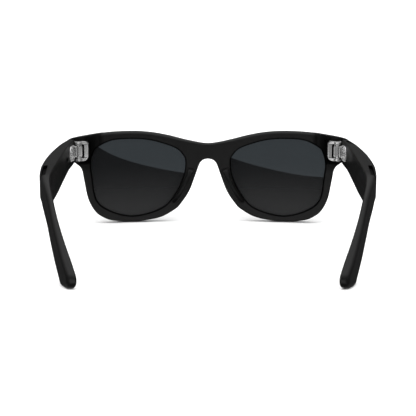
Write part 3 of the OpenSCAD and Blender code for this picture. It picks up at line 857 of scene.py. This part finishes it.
def material(name, dark, light, rough, grain=4500.0, bump=0.1, depth=0.02, metal=0.0,
             spec=0.5, patch=70.0, edge_colour=None, edge_rough=None, stretch=None,
             coat=0.0, coat_rough=0.1):
    """A finish with slow colour changes, fine grain and slightly rubbed edges."""
    mat = bpy.data.materials.new(name)
    tree, shader = nodes_of(mat)
    link = tree.links.new
    shader.inputs["Metallic"].default_value = metal
    shader.inputs["Specular IOR Level"].default_value = spec
    shader.inputs["Coat Weight"].default_value = coat
    shader.inputs["Coat Roughness"].default_value = coat_rough
    coords = coords_of(tree)
    fine_coords = coords_of(tree, stretch) if stretch else coords
    slow = noise(tree, coords, patch, 3.0)
    fine = noise(tree, fine_coords, grain, 3.0, 0.6)
    colour = mix_colour(tree, ramp(tree, slow, 0.3, 0.7, 0, 1), dark, light)
    level = ramp(tree, slow, 0.3, 0.7, rough[0], rough[1])
    if edge_colour:
        share = tree.nodes.new("ShaderNodeAttribute")
        share.attribute_name = "edge"
        spread = tree.nodes.new("ShaderNodeMath")
        spread.operation = "MULTIPLY"
        link(share.outputs["Fac"], spread.inputs[0])
        link(ramp(tree, noise(tree, coords, 420.0, 4.0), 0.35, 0.7, 0.35, 1), spread.inputs[1])
        colour = mix_colour(tree, spread.outputs["Value"], colour, edge_colour)
        rub = add(tree, "ShaderNodeMix")
        link(spread.outputs["Value"], rub.inputs["Factor"])
        link(level, rub.inputs["A"])
        rub.inputs["B"].default_value = edge_rough
        level = rub.outputs["Result"]
    speck = tree.nodes.new("ShaderNodeMath")
    speck.operation = "ADD"
    link(level, speck.inputs[0])
    link(ramp(tree, fine, 0.3, 0.7, -0.04, 0.04), speck.inputs[1])
    link(speck.outputs["Value"], shader.inputs["Roughness"])
    link(colour, shader.inputs["Base Color"])
    relief = add(tree, "ShaderNodeBump", Strength=bump, Distance=depth * MM)
    link(fine, relief.inputs["Height"])
    link(relief.outputs["Normal"], shader.inputs["Normal"])
    return mat


def shaded(mat, name, dark, glossy, dull):
    """Paint shade into the finish: darken and dull it by a share kept on the mesh, where shade
    falls.
    """
    tree, shader = nodes_of(mat)
    share = tree.nodes.new("ShaderNodeAttribute")
    share.attribute_name = name
    colour = shader.inputs["Base Color"].links[0].from_socket
    darker = mix_colour(tree, share.outputs["Fac"], colour, dark)
    tree.links.new(darker, shader.inputs["Base Color"])
    level = ramp(tree, share.outputs["Fac"], 0, 1, glossy, dull)
    tree.links.new(level, shader.inputs["Specular IOR Level"])


def grey(v):
    return (v, v, v)


def lens_material():
    """Dark glass, a little lighter towards its lower edge."""
    mat = bpy.data.materials.new("lens_glass")
    tree, shader = nodes_of(mat)
    coords = coords_of(tree)
    parts = tree.nodes.new("ShaderNodeSeparateXYZ")
    tree.links.new(coords, parts.inputs[0])
    fade = ramp(tree, parts.outputs["Z"], 0.0, 0.034, 1, 0)
    fade.node.interpolation_type = "SMOOTHSTEP"
    haze = noise(tree, coords, 35.0, 2.0)
    colour = mix_colour(tree, fade, (0.0062, 0.0064, 0.0068), (0.0245, 0.0245, 0.0248))
    colour = mix_colour(tree, ramp(tree, haze, 0.3, 0.7, 0, 0.12), colour, (0.012, 0.0125, 0.013))
    tree.links.new(colour, shader.inputs["Base Color"])
    shader.inputs["IOR"].default_value = 1.56
    shader.inputs["Specular Tint"].default_value = (0.75, 0.9, 1.0, 1)
    smear = noise(tree, coords, 190.0, 3.0)
    tree.links.new(ramp(tree, smear, 0.3, 0.75, 0.008, 0.02), shader.inputs["Roughness"])
    relief = add(tree, "ShaderNodeBump", Strength=0.02, Distance=0.01 * MM)
    tree.links.new(noise(tree, coords, 120.0), relief.inputs["Height"])
    tree.links.new(relief.outputs["Normal"], shader.inputs["Normal"])
    return mat


def board_material(name, dark, light, copper):
    """A printed board: solder mask with copper runs and small pads."""
    mat = material(name, dark, light, (0.3, 0.45), 3000.0, 0.1, 0.01)
    tree = mat.node_tree
    shader = tree.nodes["Principled BSDF"]
    coords = coords_of(tree)
    brick = add(tree, "ShaderNodeTexBrick", Scale=900.0)
    brick.inputs["Mortar Size"].default_value = 0.04
    brick.inputs["Color1"].default_value = (*dark, 1)
    brick.inputs["Color2"].default_value = (*light, 1)
    brick.inputs["Mortar"].default_value = (*copper, 1)
    swap = tree.nodes.new("ShaderNodeMapping")
    swap.inputs["Rotation"].default_value = (0, math.pi / 2, 0)
    tree.links.new(coords, swap.inputs["Vector"])
    tree.links.new(swap.outputs["Vector"], brick.inputs["Vector"])
    tree.links.new(brick.outputs["Color"], shader.inputs["Base Color"])
    return mat


def weave_material():
    """A black wire mesh with tiny square holes."""
    mat = material("speaker_mesh_black", grey(0.02), grey(0.035), (0.4, 0.5), 2500.0)
    tree = mat.node_tree
    shader = tree.nodes["Principled BSDF"]
    coords = coords_of(tree)
    waves = []
    for direction in ("X", "Y"):
        wave = add(tree, "ShaderNodeTexWave", Scale=900.0)
        wave.bands_direction = direction
        tree.links.new(coords, wave.inputs["Vector"])
        waves.append(wave.outputs["Fac"])
    lift = tree.nodes.new("ShaderNodeMath")
    lift.operation = "MAXIMUM"
    for k in range(2):
        tree.links.new(waves[k], lift.inputs[k])
    high = ramp(tree, lift.outputs["Value"], 0.4, 0.9, 0, 1)
    colour = mix_colour(tree, high, grey(0.0006), grey(0.006))
    tree.links.new(colour, shader.inputs["Base Color"])
    relief = add(tree, "ShaderNodeBump", Strength=0.8, Distance=0.08 * MM)
    tree.links.new(high, relief.inputs["Height"])
    tree.links.new(relief.outputs["Normal"], shader.inputs["Normal"])
    shader.inputs["Specular IOR Level"].default_value = 0.05
    return mat


def glass_material(name, colour, clear):
    """Polished cover glass that lets some light through."""
    mat = material(name, colour, tuple(c * 1.3 for c in colour), (0.02, 0.05), 1500.0, 0.01, 0.01)
    tree = mat.node_tree
    tree.nodes["Principled BSDF"].inputs["Alpha"].default_value = clear
    return mat


nylon = material("frame_satin_black", grey(0.0015), grey(0.0023), (0.4, 0.48), 5200.0, 0.16,
                 0.03, spec=0.6, edge_colour=grey(0.003), edge_rough=0.36)
# painted shade: the nylon goes near-black and loses most of its reflection by the lens openings,
# the hinge corners and in the speaker slots
shaded(nylon, "opening", grey(0.0004), 0.6, 0.03)
pad_mat = material("pad_satin_black", grey(0.002), grey(0.003), (0.42, 0.5), 4200.0, 0.12,
                   0.03, spec=0.3, edge_colour=grey(0.005), edge_rough=0.36)
lens_mat = lens_material()
steel = material("hinge_steel", grey(0.62), grey(0.74), (0.16, 0.24), 2600.0, 0.08, 0.006,
                 metal=0.82, edge_colour=grey(0.95), edge_rough=0.12, stretch=(5, 5, 0.35))
# painted shade: the hinge steel goes dark and dull in its corners and where it meets other parts
shaded(steel, "crevice", grey(0.02), 0.5, 0.1)
pin_mat = material("pin_steel", grey(0.7), grey(0.8), (0.14, 0.22), 2600.0, 0.08, 0.006,
                   metal=1.0, edge_colour=grey(0.9), edge_rough=0.1)
control = material("control_black", grey(0.001), grey(0.0016), (0.5, 0.58), 3600.0, 0.08,
                   0.02, spec=0.2, edge_colour=grey(0.004), edge_rough=0.45)
window_mat = glass_material("window_glass", (0.004, 0.004, 0.005), 0.72)
barrel_mat = material("barrel_black", grey(0.012), grey(0.02), (0.3, 0.42), 2400.0, 0.1,
                      0.02, metal=0.3, edge_colour=grey(0.06), edge_rough=0.25)

# ---------------------------------------------------------------- the pieces
front = solid(front_field, (-76, -13, -0.5), (76, 6.8, 48.6), 0.333)
rims = piece("front_shell", front, RIGHT, nylon, "front", "frame_nylon", "front_frame")
# painted shade on the front by the lens openings and the hinge corners
mark(rims, "opening", opening_painted_shade(front[0]))
pads = solid(pad_field, (6, -5.4, 8), (21, 2.6, 30), 0.22)
hinge = solid(bracket_field, (61, -16, 33.5), (69.5, -5.5, 45.2), 0.1)
pins = solid(pin_field, (64.8, -14.6, 34), (68, -11.6, 44.8), 0.08)
knuckles = solid(knuckle_field, (64, -28, 34.5), (70.4, -10.8, 44.2), 0.11)
# painted shade for the bracket and the knuckle, in their corners and next to neighbouring parts
ear_shade = crevice_painted_shade(bracket_field, [knuckle_field, front_field], hinge[0])
knuckle_shade = crevice_painted_shade(knuckle_field, [bracket_field, temple_body], knuckles[0])
screws = solid(screw_field, (67.9, -23.6, 37.6), (72.2, -19.4, 41), 0.08)
windows = solid(window_field, (62.8, -9.2, 34.6), (71.6, 0.8, 44.2), 0.2)
barrel = solid(barrel_field, (63.2, -8.4, 35.0), (71.2, -3.4, 43.8), 0.1)
button = solid(button_field, (70.2, -24.2, 42.6), (73, -15.8, 44.8), 0.1)
slider = solid(slider_field, (69.2, -36, 36), (72.2, -31, 40), 0.09)

for side, word in SIDES.items():
    temple = word + "_temple"
    shell = solid(shell_field(side), (53, -142.5, -0.3), (77, -11.8, 45.6), 0.3)
    body = piece(temple + "_body", shell, side, nylon, temple, "frame_nylon",
                 temple + "_shell")
    # painted shade inside the speaker slots
    mark(body, "opening", slot_painted_shade(shell[0]))
    cover = solid(cover_field(side), (69.2, -92.6, 27.5), (71.4, -29.8, 44.6), 0.27)
    piece(temple + "_inner_cover", cover, side, nylon, temple, "frame_nylon", temple + "_cover")
    piece(word + "_bridge_pad", pads, side, pad_mat, "front", "nose_pad", word + "_nose_pad")
    ears = piece(word + "_hinge_ears", hinge, side, steel, "front", "hinge_steel",
                 word + "_hinge_bracket")
    # painted shade in the bracket's corners and next to the knuckle and the front
    mark(ears, "crevice", ear_shade)
    piece(word + "_hinge_pivot", pins, side, pin_mat, "front", "pin_steel",
          word + "_hinge_pin")
    leaf = piece(word + "_hinge_barrel", knuckles, side, steel, temple, "hinge_steel",
                 word + "_hinge_knuckle")
    # painted shade in the knuckle's corners and next to the bracket and the temple
    mark(leaf, "crevice", knuckle_shade)
    piece(word + "_flange_screw", screws, side, pin_mat, temple, "pin_steel",
          word + "_hinge_knuckle_screw")
piece("camera_glass", windows, LEFT, window_mat, "front", "window_black", "camera_window")
piece("light_glass", windows, RIGHT, window_mat, "front", "window_black",
      "capture_led_window")
piece("camera_rings", barrel, LEFT, barrel_mat, "front", "barrel_black", "camera_barrel")
piece("shutter_key", button, RIGHT, control, "shutter_button", "control_black",
      "capture_button")
piece("switch_knob", slider, LEFT, control, "power_switch", "control_black",
      "power_switch_slider")


def lens_mesh():
    """Both faces of a lens as fine rings that follow its outline, and its edge."""
    ahead = np.roll(lens_curve, -1, 0) - np.roll(lens_curve, 1, 0)
    ahead /= np.linalg.norm(ahead, axis=1, keepdims=True)
    rim = lens_curve + GROOVE * np.stack([ahead[:, 1], -ahead[:, 0]], 1)
    centre = np.array([LENS_U, LENS_MID])
    shares = np.linspace(0, 1, 46)[1:] ** 0.9
    rings = centre + shares[:, None, None] * (rim - centre)
    flat = np.concatenate([[centre], rings.reshape(-1, 2)])
    faces, layers = [], []
    n = len(rim)
    for half, flip in ((-LENS_T / 2, False), (LENS_T / 2, True)):
        du, dw = (flat - LENS_CENTRE[[0, 2]]).T
        y = LENS_CENTRE[1] + np.sqrt((LENS_R + half) ** 2 - du ** 2 - dw ** 2)
        layers.append(leaned(np.stack([flat[:, 0], y, flat[:, 1]], 1)))
        base = len(flat) if flip else 0
        k = np.arange(n)
        nxt = (k + 1) % n
        fan = np.stack([np.full(n, base), np.full(n, base), base + 1 + k, base + 1 + nxt], 1)
        grid = [fan]
        for ring in range(len(shares) - 1):
            a = base + 1 + ring * n
            grid.append(np.stack([a + k, a + n + k, a + n + nxt, a + nxt], 1))
        grid = np.concatenate(grid)
        faces.append(grid[:, ::-1] if flip else grid)
    last = 1 + (len(shares) - 1) * n
    low, high = last, len(flat) + last
    faces.append(np.stack([low + k, high + k, high + nxt, low + nxt], 1))
    return np.concatenate(layers), faces


def poly_object(name, points, faces):
    """An object whose faces may be triangles where two corners are the same."""
    mesh = bpy.data.meshes.new(name)
    rows = [list(dict.fromkeys(row)) for row in np.concatenate(faces).tolist()]
    mesh.from_pydata(((points + (0, SHIFT, 0)) * MM).tolist(), [], rows)
    mesh.polygons.foreach_set("use_smooth", np.ones(len(rows), bool))
    mesh.set_sharp_from_angle(angle=math.radians(35))
    obj = bpy.data.objects.new(name, mesh)
    bpy.context.scene.collection.objects.link(obj)
    return obj


lens_points, lens_faces = lens_mesh()
for side, word in SIDES.items():
    points, faces = lens_points, lens_faces
    if side == LEFT:
        points, faces = points * (-1, 1, 1), [f[:, ::-1] for f in faces]
    place(poly_object(word + "_glass", points, faces), lens_mat, "front", "lens",
          word + "_lens")

# ---------------------------------------------------------------- kept CAD nodes
green = board_material("board_green", (0.012, 0.06, 0.035), (0.018, 0.08, 0.045),
                       (0.25, 0.13, 0.05))
amber = board_material("flex_amber", (0.25, 0.1, 0.02), (0.32, 0.14, 0.03),
                       (0.45, 0.25, 0.1))
can = material("can_metal", grey(0.5), grey(0.62), (0.25, 0.4), 900.0, 0.2, 0.01,
               metal=1.0, stretch=(1, 8, 1))
gold = material("contact_gold", (0.7, 0.45, 0.14), (0.85, 0.58, 0.22), (0.16, 0.3), 2500.0,
                0.1, 0.01, metal=1.0)
pipe = material("light_pipe", grey(0.004), grey(0.007), (0.16, 0.26), 2000.0)
core = material("core_wire", grey(0.42), grey(0.5), (0.3, 0.4), 1200.0, 0.3, 0.01,
                metal=1.0, stretch=(6, 1, 6))
chip = material("chip_black", grey(0.012), grey(0.02), (0.5, 0.62), 2600.0, 0.3, 0.02)
cell = material("cell_wrap", (0.35, 0.4, 0.46), (0.46, 0.5, 0.56), (0.22, 0.36), 300.0,
                0.5, 0.05, metal=0.8)
speaker = material("speaker_black", grey(0.015), grey(0.026), (0.35, 0.5), 2200.0, 0.2)
foam = material("gasket_foam", grey(0.02), grey(0.045), (0.85, 0.95), 2800.0, 0.9, 0.06)
weave = weave_material()
housing = material("housing_black", grey(0.01), grey(0.016), (0.4, 0.5), 3200.0, 0.12)

KEPT = {
    green: ["camera_board", "capture_led_board", "battery_board", "main_board"],
    amber: ["front_flex", "left_flex", "right_flex", "antenna_flex", "touchpad_sensor"],
    can: ["bridge_microphone", "left_microphone", "right_microphone", "processor_shield",
          "capture_button_switch"],
    gold: ["charging_contacts"],
    pipe: ["notification_light_pipe"],
    core: ["left_temple_core", "right_temple_core"],
    chip: ["memory_chip"],
    cell: ["battery"],
    speaker: ["left_speaker", "right_speaker"],
    foam: ["left_speaker_gasket", "right_speaker_gasket"],
    weave: ["left_top_speaker_mesh", "right_top_speaker_mesh", "left_bottom_speaker_mesh",
            "right_bottom_speaker_mesh"],
    housing: ["power_switch_housing"],
}
for mat, names in KEPT.items():
    for name in names:
        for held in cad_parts[name].material_slots:
            held.material = mat

# ---------------------------------------------------------------- stage
bpy.ops.mesh.primitive_grid_add(x_subdivisions=8, y_subdivisions=8, size=30)
floor = bpy.context.object
floor.name = "studio_floor"
floor_mat = material("floor_white", grey(0.88), grey(0.89), (0.7, 0.8), 60.0, 0.02, 0.02)
floor.data.materials.append(floor_mat)
floor.visible_glossy = False


def area(name, place_at, target, size, power, colour=(1, 1, 1)):
    data = bpy.data.lights.new(name, "AREA")
    data.shape = "RECTANGLE"
    data.size, data.size_y = size
    data.energy = power
    data.color = colour
    lamp = bpy.data.objects.new(name, data)
    lamp.location = place_at
    away = np.array(target, float) - np.array(place_at, float)
    flat = math.hypot(away[0], away[1])
    lamp.rotation_euler = (math.atan2(flat, -away[2]), 0, math.atan2(-away[0], away[1]))
    bpy.context.scene.collection.objects.link(lamp)
    return lamp


def sun(name, turn, strength, spread):
    data = bpy.data.lights.new(name, "SUN")
    data.energy = strength
    data.angle = math.radians(spread)
    lamp = bpy.data.objects.new(name, data)
    lamp.rotation_euler = [math.radians(a) for a in turn]
    bpy.context.scene.collection.objects.link(lamp)
    return lamp


sun("soft_top", (12, 0, 0), 2.3, 70).visible_glossy = False
area("key_softbox", (0, 0.1, 0.9), (0, 0, 0), (1.0, 0.8), 1.0).visible_glossy = False
area("left_strip", (-0.8, -0.6, 0.4), (0, 0, 0.02), (0.25, 0.8), 0.15)
area("right_strip", (0.8, -0.6, 0.4), (0, 0, 0.02), (0.25, 0.8), 0.15)

world = bpy.data.worlds.new("studio")
bpy.context.scene.world = world
world.use_nodes = True
tree = world.node_tree
link = tree.links.new
back = tree.nodes["Background"]
path = tree.nodes.new("ShaderNodeLightPath")
way = tree.nodes.new("ShaderNodeTexCoord")
parts = tree.nodes.new("ShaderNodeSeparateXYZ")
link(way.outputs["Generated"], parts.inputs[0])


def maths(operation, a, b):
    node = tree.nodes.new("ShaderNodeMath")
    node.operation = operation
    for value, socket in ((a, node.inputs[0]), (b, node.inputs[1])):
        if isinstance(value, (int, float)):
            socket.default_value = value
        else:
            link(value, socket)
    return node.outputs["Value"]


ahead = ramp(tree, parts.outputs["Y"], 0.1, 0.4, 0, 1)
wide = ramp(tree, maths("ABSOLUTE", parts.outputs["X"], 0.0), 0.4, 0.8, 0, 0.08)
top = ramp(tree, parts.outputs["Z"], 0.35, 0.95, 0.03, 0.85)
ground = ramp(tree, parts.outputs["Z"], -0.36, -0.65, 0, 0.3)
level = maths("ADD", top, maths("MULTIPLY", ahead, maths("ADD", wide, ground)))
seen = mix_colour(tree, path.outputs["Is Glossy Ray"], grey(1.15), level)
shown = mix_colour(tree, path.outputs["Is Camera Ray"], seen, (1.0, 1.0, 1.0))
link(shown, back.inputs["Color"])


def bounce_card():
    """A white card on the camera's side of the glasses that only reflections show."""
    edge = spline(CARD_EDGE, 12, False)
    low = np.stack([edge[:, 0], np.full(len(edge), CARD_LOW)], 1)
    points = np.concatenate([edge, low])
    points = np.stack([points[:, 0], np.full(len(points), CARD_Y), points[:, 1]], 1)
    k = np.arange(len(edge) - 1)
    n = len(edge)
    card = make_mesh("bounce_card", points, np.stack([k, k + 1, n + k + 1, n + k], 1))
    mat = bpy.data.materials.new("card_light")
    tree, shader = nodes_of(mat)
    coords = coords_of(tree)
    parts = tree.nodes.new("ShaderNodeSeparateXYZ")
    tree.links.new(coords, parts.inputs[0])
    side = tree.nodes.new("ShaderNodeMath")
    side.operation = "ABSOLUTE"
    tree.links.new(parts.outputs["X"], side.inputs[0])
    fade = ramp(tree, side.outputs["Value"], 0.2, 0.3, 0, 1)
    colour = mix_colour(tree, fade, grey(1.0), grey(0.0))
    tree.links.new(colour, shader.inputs["Emission Color"])
    shader.inputs["Emission Strength"].default_value = CARD_LEVEL
    shader.inputs["Base Color"].default_value = (0, 0, 0, 1)
    card.data.materials.append(mat)
    card.visible_camera = False
    card.visible_diffuse = False
    card.visible_transmission = False
    card.visible_shadow = False


bounce_card()

# ---------------------------------------------------------------- camera
camera_data = bpy.data.cameras.new("camera")
camera_data.lens = CAMERA_LENS
camera_data.sensor_width = 36
camera = bpy.data.objects.new("camera", camera_data)
camera.location = [c * MM for c in (CAMERA_AT[0], CAMERA_AT[1] + SHIFT, CAMERA_AT[2])]
camera.rotation_euler = (CAMERA_TURN, 0, 0)
bpy.context.scene.collection.objects.link(camera)
bpy.context.scene.camera = camera
bpy.context.scene.view_settings.view_transform = "Standard"
